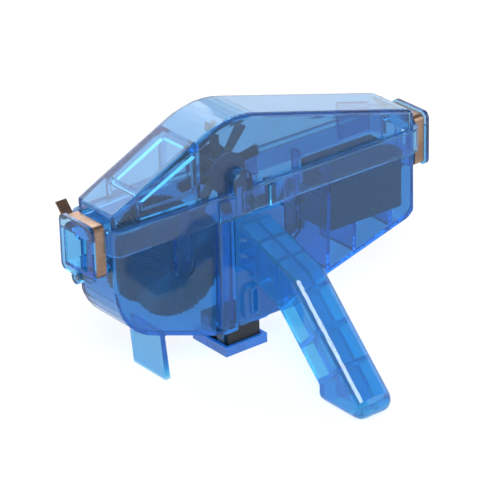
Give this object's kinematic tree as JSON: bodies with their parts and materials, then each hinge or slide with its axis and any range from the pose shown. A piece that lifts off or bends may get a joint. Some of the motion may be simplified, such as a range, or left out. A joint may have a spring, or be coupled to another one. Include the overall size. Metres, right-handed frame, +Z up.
{
  "type": "bike chain cleaner",
  "caption": "Handheld bicycle chain cleaner: a translucent two-part case with chain ports, rotating brushes, a sponge, spring-steel latch bands, an angled handle and a magnet foot.",
  "frame": {"origin": "Centre of the magnet foot's sole, on the bench.", "axes": "+X along the chain's way through the case, from the tall end with the magnet foot's left port to the right port; +Y away from the handle; +Z up."},
  "size_m": [0.2072, 0.128, 0.1242],
  "materials": {
    "clear_blue_lower": "translucent gloss",
    "clear_blue_cover": "translucent gloss",
    "clear_blue_handle": "translucent gloss",
    "spring_steel": "bronze-toned, brushed",
    "pin_steel": "satin",
    "solid_blue": "gloss",
    "magnet_black": "matt",
    "hub_blue": "satin",
    "bristle": "matt nylon bristles",
    "sponge_foam": "open-cell foam"
  },
  "bodies": {
    "case": {"lower_case": "clear_blue_lower", "upper_case": "clear_blue_cover", "handle": "clear_blue_handle", "latch_pin_left": "pin_steel", "latch_pin_right": "pin_steel", "magnet_tray": "solid_blue", "magnet": "magnet_black", "sponge": "sponge_foam"},
    "left_band": {"latch_band_left": "spring_steel"},
    "right_band": {"latch_band_right": "spring_steel"},
    "top_spinner": {"top_axle": "hub_blue", "top_hub": "hub_blue", "top_flanges": "hub_blue", "top_brush": "bristle"},
    "side_spinner": {"side_axle": "hub_blue", "side_hub": "hub_blue", "side_disc_front": "bristle", "side_disc_rear": "bristle"},
    "low_spinner": {"low_axle": "hub_blue", "low_hub": "hub_blue", "low_flanges": "hub_blue", "low_brush": "bristle"}
  },
  "joints": [
    {"name": "left_band_open", "type": "hinge", "parent": "case", "child": "left_band", "pos_m": [-0.08205, 0, 0.06269], "axis": [1, 0, 0], "range_deg": [0, 120]},
    {"name": "right_band_open", "type": "hinge", "parent": "case", "child": "right_band", "pos_m": [0.11205, 0, 0.06269], "axis": [1, 0, 0], "range_deg": [0, 120]},
    {"name": "top_brush_turn", "type": "hinge", "parent": "case", "child": "top_spinner", "pos_m": [-0.0045, 0, 0.0934], "axis": [0, 1, 0], "continuous": true},
    {"name": "side_brush_turn", "type": "hinge", "parent": "case", "child": "side_spinner", "pos_m": [-0.0375, 0, 0.0582], "axis": [0, 1, 0], "continuous": true},
    {"name": "low_brush_turn", "type": "hinge", "parent": "case", "child": "low_spinner", "pos_m": [0.0264, 0, 0.0582], "axis": [0, 1, 0], "continuous": true}
  ]
}
